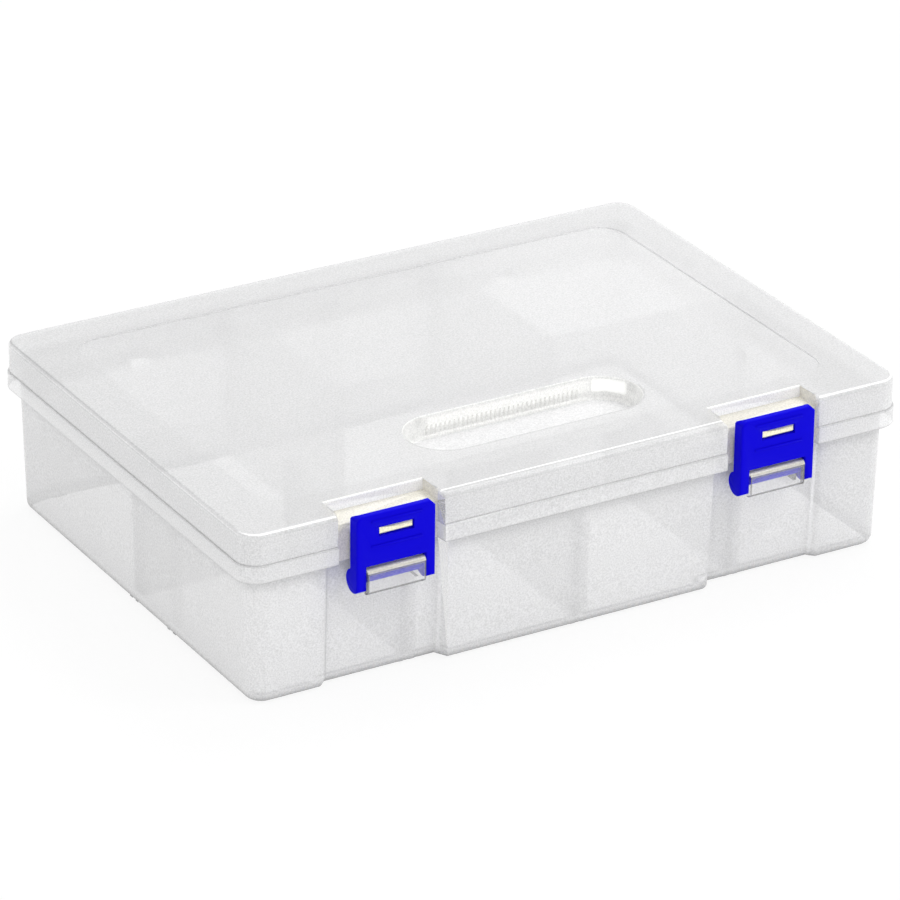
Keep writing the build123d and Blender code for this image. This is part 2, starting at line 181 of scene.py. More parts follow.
# Grain of the frosted plastic, the latches and the floor's paper: noise scales per metre, the
# stretch of the noise that counts, depths, and the ends of tones and roughness
FROST_GRAIN_SCALE = 1500.0
FROST_CLOUD_SCALE = 26.0
FROST_GRAIN_DEPTH = 0.1 * MM
FROST_BUMP = 0.1
FROST_ROUGHNESS = (0.16, 0.24)
GRAIN_NOISE = (0.3, 0.7)
GRAIN_TONES = (0.82, 1.09)
CLOUD_TONES = (0.97, 1.0)
PLASTIC_IOR = 1.49
LATCH_GRAIN_SCALE = 700.0
LATCH_GRAIN_DETAIL = 3.0
LATCH_FLOW_SCALE = 60.0
LATCH_GRAIN_DEPTH = 0.2 * MM
LATCH_BUMP = 0.08
LATCH_ROUGHNESS = (0.34, 0.46)
LATCH_SHEEN = 0.03
FLOW_DARKEST = 0.94
PAPER_FIBRE_SCALE = 40.0
PAPER_TONES = (0.93, 0.95)

# Clear finishes, each with its colour, tone, opacity and glow. A glow is painted light; the tooth,
# bay, recess and recess floor finishes are lightened copies of the plastic as painted light, and
# the bay rim's is a painted highlight
FINISHES = {
    "tub_skin": ("clear", 0.89, 0.79, 0.0),
    "bracket_bore_plastic": ("clear", 1.0, 0.04, 0.0),
    "bracket_top_plastic": ("cream", 0.75, 0.95, 0.0),
    "bracket_plastic": ("white", 0.9, 0.2, 0.0),
    "rib_plastic": ("clear", 0.75, 0.3, 0.0),
    "tub_hinge_plastic": ("clear", 0.9, 0.6, 0.0),
    "tub_inside": ("clear", 1.0, 0.12, 0.0),
    "lid_skin": ("clear", 1.02, 0.57, 0.0),
    "tooth_painted_light": ("tooth", 1.0, 1.0, 0.06),
    "bay_rim_painted_highlight": ("white", 1.0, 0.95, 0.06),
    "bay_painted_light": ("cream", 0.96, 0.85, 0.0),
    "recess_painted_light": ("white", 1.0, 0.8, 0.05),
    "recess_floor": ("clear", 1.0, 0.78, 0.01),
    "skirt_plastic": ("clear", 0.95, 0.72, 0.0),
    "lid_hinge_plastic": ("clear", 0.9, 0.6, 0.0),
    "lid_inside": ("clear", 1.0, 0.12, 0.0),
    "grip_rib_plastic": ("white", 1.0, 0.8, 0.0),
    "divider_plastic": ("clear", 0.92, 0.36, 0.0),
}

# What a full line of painted shade or painted highlight does to the plastic
DARK_LOSS = 0.62
DARK_DENSITY = 0.4
BRIGHT_DENSITY = 0.45
BRIGHT_GLOW = 0.22

# How strong each painted line, shade or highlight is, as a share of a full one
RECESS_RIB_LIGHT = 0.3
RECESS_MARK_SHADE = 0.3
LID_EDGE_SHADE = 0.6
LID_EDGE_SHADE_GAIN = 2.0
LID_EDGE_FOOT_LIGHT = 0.2
SKIRT_LINE_SHADE = 0.2
BAND_LINE_SHADE = 0.5
MOUTH_SHADE = 0.45
RIM_LINE_SHADE = 0.2
PANEL_LINE_LIGHT = 0.4
FOOT_SHADE = 0.7
UNDER_BAND_SHADE = 0.3
BAY_EDGE_STRENGTH = 0.4
RIB_BAR_SHADE = 0.14
CELL_LIGHT = 0.7
BRACKET_OUTLINE_SHADE = 1.3
BRACKET_TOP_LINE_SHARE = 0.6

# How a solid is welded and its faces are sorted: the start of a face's test ray, a small
# allowance, and limits for the slope of its normal
WELD_DISTANCE = 0.002 * MM
RAY_START = 0.05 * MM
CLOSE = 0.2 * MM
NEARLY_UPRIGHT = 0.99
NEARLY_LEVEL = 0.9
STEEP = 0.8
STEEP_SKIRT = 0.7
MOSTLY_LEVEL = 0.5
SLIGHTLY_TILTED = 0.1

# The studio: how much of its own glow the floor shows to the camera, and the lamps
SEEN_WHITE = 0.88
FLOOR_DROP = 0.1 * MM
WORLD_LIGHT = 0.92
LAMP_SIZE = 0.5
LAMPS = (
    ("top_lamp", (0.42, 0.25, 1.0), 2.9),
    ("edge_lamp", (0.95, -0.9, 1.65), 6.8),
)

# The camera's fitted view of the box: turn, height, roll and distance
VIEW_TURN = math.radians(-30.42)
VIEW_HEIGHT = math.radians(25.564)
VIEW_ROLL = math.radians(0.591)
VIEW_DISTANCE = 2.1475
VIEW_TARGET = Vector((0.0, 0.0, 0.037))
VIEW_LENS_MM = 211.07
VIEW_SENSOR_MM = 36.0
VIEW_SHIFT = (0.00245, -0.0089)
VIEW_FAR_END = 50.0

# Light paths: enough passes through the clear walls and enough bounces between them
CLEAR_PASSES = 32
SOFT_BOUNCES = 6


def length_property(name, description, default):
    """A size in metres."""
    return bpy.props.FloatProperty(
        name=name, description=description, default=default, min=0.0, unit="LENGTH", precision=5
    )


def colour_property(name, description, default):
    """A linear RGB colour."""
    return bpy.props.FloatVectorProperty(
        name=name,
        description=description,
        default=default,
        min=0.0,
        max=1.0,
        size=3,
        subtype="COLOR",
    )


class BoxSizes(bpy.types.PropertyGroup):
    """Sizes that a user may want to change."""

    rib_pitch: length_property("Rib pitch", "Distance between the grip ribs", 0.0021)
    rib_radius: length_property("Rib radius", "How far a round grip rib stands out", 0.0005)
    rib_height: length_property("Rib height", "Length of one grip rib", 0.0042)
    rib_count: bpy.props.IntProperty(
        name="Rib count", description="Number of grip ribs", default=34, min=1, max=80
    )
    crease_angle: bpy.props.FloatProperty(
        name="Crease angle",
        description="Edges sharper than this stay sharp",
        default=math.radians(32.0),
        subtype="ANGLE",
    )
    floor_size: length_property("Floor size", "Side of the studio floor", 8.0)


class BoxColours(bpy.types.PropertyGroup):
    """Colours of the mouldings and of the studio."""

    clear: colour_property("Clear plastic", "Frosted clear plastic", (0.93, 0.93, 0.935))
    # The cream tint is painted light in the latch bays, lightening their shade and cancelling the
    # blue light the latches throw there; it also tints the bracket tops
    cream: colour_property("Cream tint", "Warm tint round the latches", (0.95, 0.92, 0.80))
    # The catch teeth are lightened and made to glow in their shaded slots: painted light
    tooth: colour_property("Catch tooth", "Catch teeth seen through the slots", (1.0, 0.95, 0.66))
    # This white is painted highlight on the bay rims and the recess walls; the bracket fronts and
    # grip ribs also use it
    white: colour_property("Bright edge", "Whitened plastic at rounded edges", (1.0, 1.0, 0.98))
    blue: colour_property("Latch blue", "Saturated blue of the latches", (0.004, 0.001, 0.68))
    studio: colour_property("Studio", "Floor and backdrop", (1.0, 1.0, 1.0))


def sizes():
    return bpy.context.scene.storage_box_sizes


def colours():
    return bpy.context.scene.storage_box_colours


class Tree:
    """Short helper for building a node tree."""

    def __init__(self, tree):
        self.tree = tree

    def node(self, kind, inputs=None, **settings):
        made = self.tree.nodes.new(kind)
        for name, value in settings.items():
            setattr(made, name, value)
        for name, value in (inputs or {}).items():
            if isinstance(value, bpy.types.NodeSocket):
                self.tree.links.new(value, made.inputs[name])
            else:
                made.inputs[name].default_value = value
        return made

    def math(self, operation, first, second=0.0, clamp=False):
        made = self.node("ShaderNodeMath", {0: first, 1: second}, operation=operation)
        made.use_clamp = clamp
        return made.outputs[0]

    def noise(self, place, scale, detail=2.0):
        """Strength of a noise at a place."""
        made = self.node(
            "ShaderNodeTexNoise", {"Vector": place, "Scale": scale, "Detail": detail}
        )
        return made.outputs["Fac"]

    def spread(self, value, to, source=(0.0, 1.0)):
        """Maps a value from one stretch to another, within its ends."""
        made = self.node(
            "ShaderNodeMapRange",
            {
                "Value": value,
                "From Min": source[0],
                "From Max": source[1],
                "To Min": to[0],
                "To Max": to[1],
            },
        )
        return made.outputs["Result"]

    def link(self, source, target):
        self.tree.links.new(source, target)


def new_material(name):
    """An empty node material and its tree helper."""
    material = bpy.data.materials.new(name)
    material.use_nodes = True
    material.node_tree.nodes.clear()
    return material, Tree(material.node_tree)


def finish_material(material, tree, shader):
    output = tree.node("ShaderNodeOutputMaterial")
    tree.link(shader, output.inputs["Surface"])
    return material


def near(tree, coordinate, centre, reach, blur):
    """1 within reach of centre along one coordinate, fading to 0 over blur."""
    offset = tree.math("ABSOLUTE", tree.math("SUBTRACT", coordinate, centre))
    left_over = tree.math("SUBTRACT", reach + blur, offset)
    return tree.math("DIVIDE", left_over, blur, clamp=True)


def ramp(tree, coordinate, start, length):
    """0 before start along one coordinate, rising to 1 over length."""
    return tree.math("DIVIDE", tree.math("SUBTRACT", coordinate, start), length, clamp=True)


def strongest(tree, *strengths):
    """The greatest of several strengths."""
    most = strengths[0]
    for strength in strengths[1:]:
        most = tree.math("MAXIMUM", most, strength)
    return most


def product(tree, *factors):
    """The product of several strengths, masks and plain shares."""
    made = factors[0]
    for factor in factors[1:]:
        made = tree.math("MULTIPLY", made, factor)
    return made


def way_out(tree, across, deep):
    """Length of the level vector with the two given parts."""
    reach = tree.node("ShaderNodeCombineXYZ", {"X": across, "Y": deep})
    out = tree.node("ShaderNodeVectorMath", operation="LENGTH")
    tree.link(reach.outputs["Vector"], out.inputs[0])
    return out.outputs["Value"]


def beyond(tree, coordinate, limit):
    """How far a coordinate lies past the limit on either side, or 0 within it."""
    over = tree.math("SUBTRACT", tree.math("ABSOLUTE", coordinate), limit)
    return tree.math("MAXIMUM", over, 0.0)


def frosted_plastic(name, shade=None):
    """Frosted clear polypropylene: a milky see-through skin with a fine grain.

    shade paints shade and highlights on it as painted light: from the object's coordinates it works
    out how dark and how bright a point is, where 1 is a full line.
    """
    colour_name, tone, opacity, glow = FINISHES[name]
    material, tree = new_material(name)
    place = tree.node("ShaderNodeTexCoord").outputs["Object"]
    grain = tree.noise(place, FROST_GRAIN_SCALE)
    cloud = tree.noise(place, FROST_CLOUD_SCALE)
    speckle = tree.spread(grain, GRAIN_TONES, GRAIN_NOISE)
    brightness = tree.math("MULTIPLY", speckle, tree.spread(cloud, CLOUD_TONES))
    # Painted light: the finish's glow shines as emission; painted shade darkens and thickens the
    # skin, and painted highlights thicken it and add glow
    density = opacity
    light = glow
    if shade:
        axes = tree.node("ShaderNodeSeparateXYZ", {"Vector": place}).outputs
        dark, bright = shade(tree, axes["X"], axes["Y"], axes["Z"])
        keep = tree.math("SUBTRACT", 1.0, tree.math("MULTIPLY", dark, DARK_LOSS))
        brightness = tree.math("MULTIPLY", brightness, keep)
        thicker = tree.math("MULTIPLY", dark, DARK_DENSITY)
        density = tree.math("ADD", opacity, thicker, clamp=True)
        thicker = tree.math("MULTIPLY", bright, BRIGHT_DENSITY)
        density = tree.math("ADD", density, thicker, clamp=True)
        light = tree.math("ADD", glow, tree.math("MULTIPLY", bright, BRIGHT_GLOW))
    colour = tree.node("ShaderNodeVectorMath", operation="SCALE")
    colour.inputs[0].default_value = getattr(colours(), colour_name) * tone
    tree.link(brightness, colour.inputs["Scale"])
    bump = tree.node(
        "ShaderNodeBump",
        {"Strength": FROST_BUMP, "Distance": FROST_GRAIN_DEPTH, "Height": grain},
    )
    shader = tree.node(
        "ShaderNodeBsdfPrincipled",
        {
            "Base Color": colour.outputs["Vector"],
            "Roughness": tree.spread(grain, FROST_ROUGHNESS),
            "Normal": bump.outputs["Normal"],
            "IOR": PLASTIC_IOR,
            "Alpha": density,
            "Emission Color": (1.0, 1.0, 1.0, 1.0),
            "Emission Strength": light,
        },
    )
    return finish_material(material, tree, shader.outputs["BSDF"])


def recess_shades(tree, x, y, z):
    """Painted light on the recess's rear wall, bright along the ribs and brightest in a glint at
    its right end, with two spots of painted shade.
    """
    rear = tree.math("GREATER_THAN", y, RECESS_CENTRE_Y)
    ribs = product(tree, near(tree, x, *RECESS_RIB_ROW), RECESS_RIB_LIGHT)
    light = strongest(tree, ribs, near(tree, x, *RECESS_GLINT))
    bright = product(tree, light, near(tree, z, *RECESS_BAND), rear)
    shaded_ends = strongest(tree, near(tree, x, *RECESS_LEFT_SHADE), near(tree, x, *RECESS_RIGHT_SHADE))
    level = near(tree, z, *RECESS_SHADE_LEVEL)
    return product(tree, shaded_ends, level, rear, RECESS_MARK_SHADE), bright


def lid_painted_lines(tree, x, y, z):
    """Painted shade and painted highlight lines of the lid: its rounded top edge, panel, recess
    mouth, and the band's two edges.
    """
    out = way_out(tree, beyond(tree, x, LID_CORNER_X), beyond(tree, y, LID_CORNER_Y))
    climb = tree.math("ADD", z, out)
    tilt = tree.math("SUBTRACT", z, out)
    rounded = tree.math("GREATER_THAN", climb, LID_EDGE_CLIMB)
    sides = ramp(tree, y, LID_FACE_START_Y, LID_FACE_FADE)
    front = tree.math("SUBTRACT", 1.0, sides)
    edge = product(tree, near(tree, tilt, LID_EDGE_TILT, *EDGE_LINE), rounded)
    edge_foot = product(tree, near(tree, tilt, LID_EDGE_FOOT_TILT, *EDGE_LINE), rounded)
    deepening = tree.math("MULTIPLY", y, LID_EDGE_SHADE_GAIN)
    deepening = tree.math("ADD", deepening, LID_EDGE_SHADE)
    from_recess = way_out(
        tree,
        beyond(tree, x, RECESS_HALF_STRAIGHT),
        tree.math("SUBTRACT", y, RECESS_CENTRE_Y),
    )
    mouth = near(tree, from_recess, RECESS_RADIUS + RECESS_MOUTH_OUT, *MOUTH_LINE)
    before = tree.math("LESS_THAN", y, RECESS_CENTRE_Y)
    # Painted shade: the side and back top edge, deepening towards the back, the skirt and band
    # lines, the raised rim round the panel, and the recess mouth
    dark = strongest(
        tree,
        product(tree, edge, sides, deepening),
        product(tree, near(tree, z, LID_SKIRT_LINE_Z, *HAIR_LINE), SKIRT_LINE_SHADE),
        product(tree, near(tree, z, BAND_TOP_Z, *HAIR_LINE), BAND_LINE_SHADE),
        product(tree, near(tree, z, BAND_BOTTOM_Z, *BAND_FOOT_LINE), BAND_LINE_SHADE),
        product(tree, tree.math("GREATER_THAN", z, LID_RIM_LINE_Z), RIM_LINE_SHADE),
        product(tree, mouth, before, MOUTH_SHADE),
    )
    flat = tree.math("LESS_THAN", out, LID_FLAT_OUT)
    panel = product(tree, near(tree, z, LID_PANEL_LINE_Z, *PANEL_LINE), flat, PANEL_LINE_LIGHT)
    # Painted highlights: along the front top edge beside the edge lamp's own gloss, along the
    # panel's step, and at the foot of the side edges
    bright = tree.math("ADD", product(tree, edge, front), panel)
    return dark, tree.math("ADD", bright, product(tree, edge_foot, sides, LID_EDGE_FOOT_LIGHT))


def tub_painted_lines(tree, x, y, z):
    """Painted shade on the tub: a darker foot, shade under the lid's band, the left bay edges and
    the rib pairs, with painted highlights on the right bay edges.
    """
    apart = tree.math("ABSOLUTE", x)
    front = tree.math("LESS_THAN", y, FRONT_WALL_Y)
    foot = tree.math("SUBTRACT", 1.0, ramp(tree, z, 0.0, FOOT_SHADE_TOP_Z))
    side = tree.math("SUBTRACT", apart, LATCH_X)
    edges = near(tree, tree.math("ABSOLUTE", side), BAY_EDGE_OFFSET, *EDGE_LINE)
    right = tree.math("GREATER_THAN", tree.math("MULTIPLY", side, x), 0.0)
    left = tree.math("SUBTRACT", 1.0, right)
    pairs = strongest(
        tree, near(tree, apart, 0.0, *RIB_BAR), near(tree, apart, FRONT_RIB_X, *RIB_BAR)
    )
    low = tree.math("LESS_THAN", z, FRONT_RIB_TOP_Z)
    dark = strongest(
        tree,
        product(tree, foot, FOOT_SHADE),
        product(tree, near(tree, z, RIM_SHADE_Z, *RIM_SHADE), UNDER_BAND_SHADE),
        product(tree, edges, left, front, BAY_EDGE_STRENGTH),
        product(tree, pairs, low, front, RIB_BAR_SHADE),
    )
    return dark, product(tree, edges, right, front, BAY_EDGE_STRENGTH)


def cell_shades(tree, x, y, z):
    """Painted light on the floor of the rear cells, lighter towards the box's right end."""
    rear = tree.math("GREATER_THAN", y, REAR_CELL_Y)
    rise = ramp(tree, x, CELL_GLOW_START_X, CELL_GLOW_LENGTH)
    return 0.0, product(tree, rise, rear, CELL_LIGHT)


def bracket_shades(tree, x, y, z):
    """Painted dark outline of the bracket, standing in for shade at its edges: both ends, the lower
    edge and the foot of its rounded top.
    """
    side = tree.math("SUBTRACT", tree.math("ABSOLUTE", x), LATCH_X)
    ends = near(tree, tree.math("ABSOLUTE", side), BRACKET_END_LINE_OFFSET, *BRACKET_END_LINE)
    low = near(tree, z, BRACKET_LOW_LINE_Z, *BRACKET_LOW_LINE)
    high = near(tree, z, BRACKET_TOP_LINE_Z, *BRACKET_TOP_LINE)
    high = product(tree, high, BRACKET_TOP_LINE_SHARE)
    return product(tree, strongest(tree, ends, low, high), BRACKET_OUTLINE_SHADE), 0.0


def latch_plastic():
    """Blue moulded plastic with a slightly uneven gloss."""
    material, tree = new_material("latch_blue_plastic")
    place = tree.node("ShaderNodeTexCoord").outputs["Object"]
    grain = tree.noise(place, LATCH_GRAIN_SCALE, LATCH_GRAIN_DETAIL)
    flow = tree.noise(place, LATCH_FLOW_SCALE)
    blue = colours().blue
    colour = tree.node("ShaderNodeMix", {"Factor": flow}, data_type="RGBA")
    colour.inputs["A"].default_value = (blue[0], blue[1], blue[2] * FLOW_DARKEST, 1.0)
    colour.inputs["B"].default_value = (*blue, 1.0)
    bump = tree.node(
        "ShaderNodeBump",
        {"Strength": LATCH_BUMP, "Distance": LATCH_GRAIN_DEPTH, "Height": grain},
    )
    shader = tree.node(
        "ShaderNodeBsdfPrincipled",
        {
            "Base Color": colour.outputs["Result"],
            "Roughness": tree.spread(grain, LATCH_ROUGHNESS),
            "Normal": bump.outputs["Normal"],
            "Specular IOR Level": LATCH_SHEEN,
        },
    )
    return finish_material(material, tree, shader.outputs["BSDF"])


def studio_paper():
    """Plain white paper that keeps the box's shadow and looks white to the camera."""
    material, tree = new_material("studio_paper")
    place = tree.node("ShaderNodeTexCoord").outputs["Object"]
    tone = tree.spread(tree.noise(place, PAPER_FIBRE_SCALE), PAPER_TONES)
    paper = tree.node("ShaderNodeBsdfDiffuse", {"Color": tone})
    glow = tree.node("ShaderNodeEmission", {"Color": (*colours().studio, 1.0), "Strength": 1.0})
    path = tree.node("ShaderNodeLightPath")
    share = tree.math("MULTIPLY", path.outputs["Is Camera Ray"], SEEN_WHITE)
    mix = tree.node("ShaderNodeMixShader", {"Fac": share})
    tree.link(paper.outputs["BSDF"], mix.inputs[1])
    tree.link(glow.outputs["Emission"], mix.inputs[2])
    return finish_material(material, tree, mix.outputs["Shader"])


def grip_rib_nodes(finish):
    """Geometry Nodes: a row of round ribs, centred on its foot, with a slimmer top."""
    group = bpy.data.node_groups.new("grip_rib_row", "GeometryNodeTree")
    face = group.interface
    face.new_socket(name="Geometry", in_out="OUTPUT", socket_type="NodeSocketGeometry")
    sockets = {}
    for name, kind in (
        ("Pitch", "NodeSocketFloat"),
        ("Radius", "NodeSocketFloat"),
        ("Height", "NodeSocketFloat"),
        ("Count", "NodeSocketInt"),
        ("Foot", "NodeSocketVector"),
    ):
        made = face.new_socket(name=name, in_out="INPUT", socket_type=kind)
        sockets[name] = made.identifier
    tree = Tree(group)
    given = tree.node("NodeGroupInput").outputs
    rib = tree.node(
        "GeometryNodeMeshCone",
        {
            "Vertices": GRIP_RIB_SIDES,
            "Side Segments": GRIP_RIB_RINGS,
            "Radius Top": tree.math("MULTIPLY", given["Radius"], GRIP_RIB_TAPER),
            "Radius Bottom": given["Radius"],
            "Depth": given["Height"],
        },
    )
    steps = tree.math("SUBTRACT", given["Count"], 1.0)
    span = tree.math("MULTIPLY", steps, given["Pitch"])
    start = tree.node("ShaderNodeCombineXYZ", {"X": tree.math("MULTIPLY", span, -0.5)})
    begin = tree.node("ShaderNodeVectorMath", {0: start.outputs["Vector"], 1: given["Foot"]})
    stride = tree.node("ShaderNodeCombineXYZ", {"X": given["Pitch"]})
    row = tree.node(
        "GeometryNodeMeshLine",
        {
            "Count": given["Count"],
            "Start Location": begin.outputs["Vector"],
            "Offset": stride.outputs["Vector"],
        },
    )
    placed = tree.node(
        "GeometryNodeInstanceOnPoints",
        {"Points": row.outputs["Mesh"], "Instance": rib.outputs["Mesh"]},
    )
    real = tree.node("GeometryNodeRealizeInstances", {"Geometry": placed.outputs["Instances"]})
    coat = tree.node(
        "GeometryNodeSetMaterial", {"Geometry": real.outputs["Geometry"], "Material": finish}
    )
    tree.node("NodeGroupOutput", {"Geometry": coat.outputs["Geometry"]})
    return group, sockets


def sort_faces(piece, sorts):
    """Gives each face the first of the materials whose test accepts it; the rest keep the skin."""
    shape = bmesh.new()
    shape.from_mesh(piece.data)
    solid = BVHTree.FromBMesh(shape)
    shape.free()
    for material, test in sorts:
        piece.data.materials.append(material)
    for face in piece.data.polygons:
        start = face.center + face.normal * RAY_START
        faces_in = solid.ray_cast(start, face.normal)[0] is not None
        for index, (material, test) in enumerate(sorts, 1):
            if test(face.center, face.normal, faces_in):
                face.material_index = index
                break


def beside_latch(place):
    """Distance along the box from the nearer latch's middle."""
    return abs(abs(place.x) - LATCH_X)


def recess_out(place):
    """Level distance from the middle line of the grip recess."""
    along = max(abs(place.x) - RECESS_HALF_STRAIGHT, 0.0)
    return math.hypot(along, place.y - RECESS_CENTRE_Y)


def on_bracket(place, normal, faces_in):
    """The clear bracket round a latch's bar."""
    inside = BRACKET_BOTTOM_Z < place.z < BRACKET_TOP_Z and place.y < BRACKET_BACK_Y
    return inside and beside_latch(place) < BRACKET_HALF_WIDTH


def on_bracket_bore(place, normal, faces_in):
    """The bracket's inner walls, seen through its front."""
    return faces_in and on_bracket(place, normal, faces_in)


def on_bracket_top(place, normal, faces_in):
    """The bracket's flat top and its rounded edge."""
    return on_bracket(place, normal, faces_in) and normal.z > SLIGHTLY_TILTED


def on_rib(place, normal, faces_in):
    """Upright sides of the guide ribs on the front wall."""
    upright = faces_in and abs(normal.x) > NEARLY_UPRIGHT
    return upright and place.y < FRONT_RIB_END_Y and abs(place.x) < FRONT_RIB_END_X


def on_inside(place, normal, faces_in):
    """Faces that look into the box, such as the floor and the inner walls."""
    if place.z > LID_PANEL_FLOOR_Z:
        return False
    floor = normal.z > NEARLY_LEVEL and place.z < FLOOR_REACH_Z
    return faces_in or floor or normal.z < -NEARLY_LEVEL


def on_hinge(place, normal, faces_in):
    """Hooks, lugs and bars of the two snap hinges."""
    return place.y > HINGE_Y and place.z < BAND_TOP_Z and beside_latch(place) < HINGE_HALF_WIDTH


def on_recess_floor(place, normal, faces_in):
    """Floor of the grip recess and its bevelled foot."""
    inside = recess_out(place) < RECESS_RADIUS + CLOSE and place.z < RECESS_FLOOR_TOP_Z
    return normal.z > MOSTLY_LEVEL and inside


def on_recess(place, normal, faces_in):
    """Walls of the grip recess."""
    inner = RECESS_RADIUS - RECESS_WALL_DEPTH
    wall = inner < recess_out(place) < RECESS_RADIUS + RECESS_MOUTH_OUT
    return wall and abs(normal.z) < STEEP and place.z > RECESS_FLOOR_Z - CLOSE


def on_skirt(place, normal, faces_in):
    """The lid's skirt and band, which overlap the tub's rim."""
    outside = not faces_in and place.z < LID_SKIRT_TOP_Z
    return outside and abs(normal.z) < STEEP_SKIRT


def on_tooth(place, normal, faces_in):
    """The catch tooth that fills a latch's slot."""
    return beside_latch(place) < TOOTH_HALF_WIDTH + CLOSE and place.y < TOOTH_BACK_Y


def on_bay(place, normal, faces_in):
    """Walls and shelf of the latch bays."""
    deep = BAY_SKIN_Y - BAY_MARGIN < place.y < BAY_BACK_Y + BAY_MARGIN
    outside = normal.z > -MOSTLY_LEVEL and normal.y < MOSTLY_LEVEL
    return deep and outside and beside_latch(place) < BAY_HALF_WIDTH + 2 * CLOSE


def on_bay_rim_highlight(place, normal, faces_in):
    """Upper part of a bay's rear wall and its rounded edge, which carry a painted highlight."""
    rear = place.y > BAY_BACK_Y - 2 * CLOSE and normal.y < -SLIGHTLY_TILTED
    return rear and on_bay(place, normal, faces_in)


def smooth_copy(node, name, material, sorts=()):
    """A welded, smoothly shaded copy of a solid, which stands for it."""
    source = frame["nodes"][node]
    body = body_of(source)[0]
    shape = bmesh.new()
    shape.from_mesh(source.data)
    bmesh.ops.remove_doubles(shape, verts=shape.verts, dist=WELD_DISTANCE)
    for face in shape.faces:
        face.smooth = True
    mesh = bpy.data.meshes.new(name)
    shape.to_mesh(mesh)
    shape.free()
    mesh.set_sharp_from_angle(angle=sizes().crease_angle)
    mesh.materials.append(material)
    piece = bpy.data.objects.new(name, mesh)
    bpy.context.scene.collection.objects.link(piece)
    even = piece.modifiers.new("even_shading", "WEIGHTED_NORMAL")
    even.keep_sharp = True
    bpy.context.view_layer.update()
    shaded = bpy.data.meshes.new_from_object(
        piece.evaluated_get(bpy.context.evaluated_depsgraph_get())
    )
    piece.modifiers.remove(even)
    piece.data = shaded
    shaded.name = name
    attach(piece, body)
    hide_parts(node)
    if sorts:
        sort_faces(piece, sorts)
    return piece


class STORAGEBOX_OT_tub(bpy.types.Operator):
    """Dress the clear tub"""

    bl_idname = "storage_box.tub"
    bl_label = "Clear tub"

    def execute(self, context):
        smooth_copy(
            "base",
            "clear_tub",
            frosted_plastic("tub_skin", shade=tub_painted_lines),
            (
                (frosted_plastic("bracket_bore_plastic"), on_bracket_bore),
                (frosted_plastic("bracket_top_plastic"), on_bracket_top),
                (frosted_plastic("bracket_plastic", shade=bracket_shades), on_bracket),
                (frosted_plastic("rib_plastic"), on_rib),
                (frosted_plastic("tub_hinge_plastic"), on_hinge),
                (frosted_plastic("tub_inside", shade=cell_shades), on_inside),
            ),
        )
        return {"FINISHED"}


class STORAGEBOX_OT_lid(bpy.types.Operator):
    """Dress the clear lid"""

    bl_idname = "storage_box.lid"
    bl_label = "Clear lid"

    def execute(self, context):
        smooth_copy(
            "lid",
            "clear_lid",
            frosted_plastic("lid_skin", shade=lid_painted_lines),
            (
                (frosted_plastic("tooth_painted_light"), on_tooth),
                (frosted_plastic("bay_rim_painted_highlight"), on_bay_rim_highlight),
                (frosted_plastic("bay_painted_light"), on_bay),
                (frosted_plastic("recess_painted_light", shade=recess_shades), on_recess),
                (frosted_plastic("recess_floor"), on_recess_floor),
                (frosted_plastic("skirt_plastic", shade=lid_painted_lines), on_skirt),
                (frosted_plastic("lid_hinge_plastic"), on_hinge),
                (frosted_plastic("lid_inside"), on_inside),
            ),
        )
        return {"FINISHED"}


class STORAGEBOX_OT_grip_ribs(bpy.types.Operator):
    """Add the fine upright ribs on the recess's rear wall"""

    bl_idname = "storage_box.grip_ribs"
    bl_label = "Grip ribs"

    def execute(self, context):
        size = sizes()
        finish = frosted_plastic("grip_rib_plastic")
        group, sockets = grip_rib_nodes(finish)
        holder = bpy.data.objects.new("grip_ribs", bpy.data.meshes.new("grip_ribs"))
        context.scene.collection.objects.link(holder)
        grow = holder.modifiers.new("grip_ribs", "NODES")
        grow.node_group = group
        grow[sockets["Pitch"]] = size.rib_pitch
        grow[sockets["Radius"]] = size.rib_radius
        grow[sockets["Height"]] = size.rib_height
        grow[sockets["Count"]] = size.rib_count
        grow[sockets["Foot"]] = Vector(
            (0.0, RECESS_CENTRE_Y + RECESS_RADIUS, RECESS_FLOOR_Z + GRIP_RIB_LIFT)
        )
        context.view_layer.update()
        ribs = bpy.data.meshes.new_from_object(
            holder.evaluated_get(context.evaluated_depsgraph_get())
        )
        holder.modifiers.remove(grow)
        holder.data = ribs
        ribs.name = "grip_ribs"
        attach(holder, body_of(frame["nodes"]["lid"])[0])
        return {"FINISHED"}


class STORAGEBOX_OT_dividers(bpy.types.Operator):
    """Dress the lift-out dividers"""

    bl_idname = "storage_box.dividers"
    bl_label = "Dividers"

    def execute(self, context):
        finish = frosted_plastic("divider_plastic")
        for node in sorted(frame["nodes"]):
            if "divider" in node:
                smooth_copy(node, "clear_" + node, finish)
        return {"FINISHED"}


class STORAGEBOX_OT_latches(bpy.types.Operator):
    """Dress the two latches"""

    bl_idname = "storage_box.latches"
    bl_label = "Latches"

    def execute(self, context):
        finish = latch_plastic()
        for node in ("latch_left", "latch_right"):
            smooth_copy(node, "blue_" + node, finish)
        return {"FINISHED"}


def aim(thing, target):
    """Turns a lamp towards a point."""
    thing.rotation_euler = (target - thing.location).to_track_quat("-Z", "Y").to_euler()


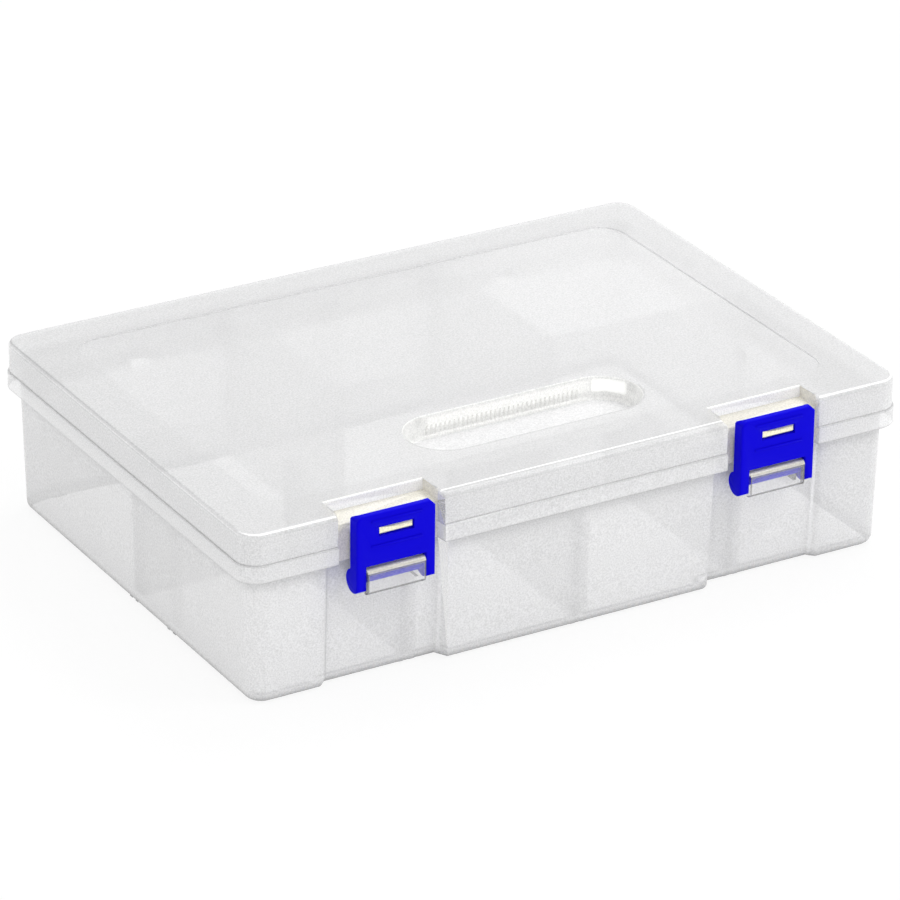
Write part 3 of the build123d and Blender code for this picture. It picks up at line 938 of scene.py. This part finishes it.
class STORAGEBOX_OT_studio(bpy.types.Operator):
    """Set up the floor, the lamps and the camera"""

    bl_idname = "storage_box.studio"
    bl_label = "Studio"

    def execute(self, context):
        scene = context.scene
        half = sizes().floor_size / 2
        mesh = bpy.data.meshes.new("studio_floor")
        mesh.from_pydata(
            [(-half, -half, 0.0), (half, -half, 0.0), (half, half, 0.0), (-half, half, 0.0)],
            [],
            [(0, 1, 2, 3)],
        )
        mesh.materials.append(studio_paper())
        floor = bpy.data.objects.new("studio_floor", mesh)
        scene.collection.objects.link(floor)
        floor.location.z = -FLOOR_DROP

        world = bpy.data.worlds.new("studio_world")
        world.use_nodes = True
        world.node_tree.nodes.clear()
        tree = Tree(world.node_tree)
        white = (*colours().studio, 1.0)
        light = tree.node("ShaderNodeBackground", {"Color": white, "Strength": WORLD_LIGHT})
        seen = tree.node("ShaderNodeBackground", {"Color": white, "Strength": 1.0})
        path = tree.node("ShaderNodeLightPath")
        mix = tree.node("ShaderNodeMixShader", {"Fac": path.outputs["Is Camera Ray"]})
        tree.link(light.outputs["Background"], mix.inputs[1])
        tree.link(seen.outputs["Background"], mix.inputs[2])
        output = tree.node("ShaderNodeOutputWorld")
        tree.link(mix.outputs["Shader"], output.inputs["Surface"])
        scene.world = world

        for name, place, power in LAMPS:
            lamp = bpy.data.lights.new(name, "AREA")
            lamp.energy = power
            lamp.size = LAMP_SIZE
            holder = bpy.data.objects.new(name, lamp)
            holder.location = place
            scene.collection.objects.link(holder)
            aim(holder, VIEW_TARGET)

        back = Vector(
            (
                math.sin(VIEW_TURN) * math.cos(VIEW_HEIGHT),
                -math.cos(VIEW_TURN) * math.cos(VIEW_HEIGHT),
                math.sin(VIEW_HEIGHT),
            )
        )
        level = Vector((math.cos(VIEW_TURN), math.sin(VIEW_TURN), 0.0))
        upright = back.cross(level)
        right = math.cos(VIEW_ROLL) * level + math.sin(VIEW_ROLL) * upright
        top = math.cos(VIEW_ROLL) * upright - math.sin(VIEW_ROLL) * level
        lens = bpy.data.cameras.new("photo_camera")
        lens.sensor_width = VIEW_SENSOR_MM
        lens.sensor_fit = "HORIZONTAL"
        lens.lens = VIEW_LENS_MM
        lens.shift_x, lens.shift_y = VIEW_SHIFT
        lens.clip_end = VIEW_FAR_END
        camera = bpy.data.objects.new("photo_camera", lens)
        turn = Matrix((right, top, back)).transposed().to_4x4()
        camera.matrix_world = Matrix.Translation(VIEW_TARGET + VIEW_DISTANCE * back) @ turn
        scene.collection.objects.link(camera)
        scene.camera = camera
        scene.view_settings.view_transform = "Standard"
        scene.cycles.transparent_max_bounces = CLEAR_PASSES
        scene.cycles.diffuse_bounces = SOFT_BOUNCES
        return {"FINISHED"}


class STORAGEBOX_PT_panel(bpy.types.Panel):
    """Lists the pieces of the box and their sizes and colours"""

    bl_idname = "STORAGEBOX_PT_panel"
    bl_label = "Storage Box"
    bl_space_type = "VIEW_3D"
    bl_region_type = "UI"
    bl_category = "Storage Box"

    def draw(self, context):
        for group in (context.scene.storage_box_sizes, context.scene.storage_box_colours):
            for name in group.__annotations__:
                self.layout.prop(group, name)
        for step in STEPS:
            self.layout.operator(step.bl_idname)


STEPS = (
    STORAGEBOX_OT_studio,
    STORAGEBOX_OT_tub,
    STORAGEBOX_OT_lid,
    STORAGEBOX_OT_grip_ribs,
    STORAGEBOX_OT_dividers,
    STORAGEBOX_OT_latches,
)
CLASSES = (BoxSizes, BoxColours) + STEPS + (STORAGEBOX_PT_panel,)


def register():
    for made in CLASSES:
        bpy.utils.register_class(made)
    bpy.types.Scene.storage_box_sizes = bpy.props.PointerProperty(type=BoxSizes)
    bpy.types.Scene.storage_box_colours = bpy.props.PointerProperty(type=BoxColours)


def unregister():
    del bpy.types.Scene.storage_box_colours
    del bpy.types.Scene.storage_box_sizes
    for made in reversed(CLASSES):
        bpy.utils.unregister_class(made)


def main():
    register()
    bpy.ops.storage_box.studio()
    bpy.ops.storage_box.tub()
    bpy.ops.storage_box.lid()
    bpy.ops.storage_box.grip_ribs()
    bpy.ops.storage_box.dividers()
    bpy.ops.storage_box.latches()


if __name__ == "__main__":
    main()
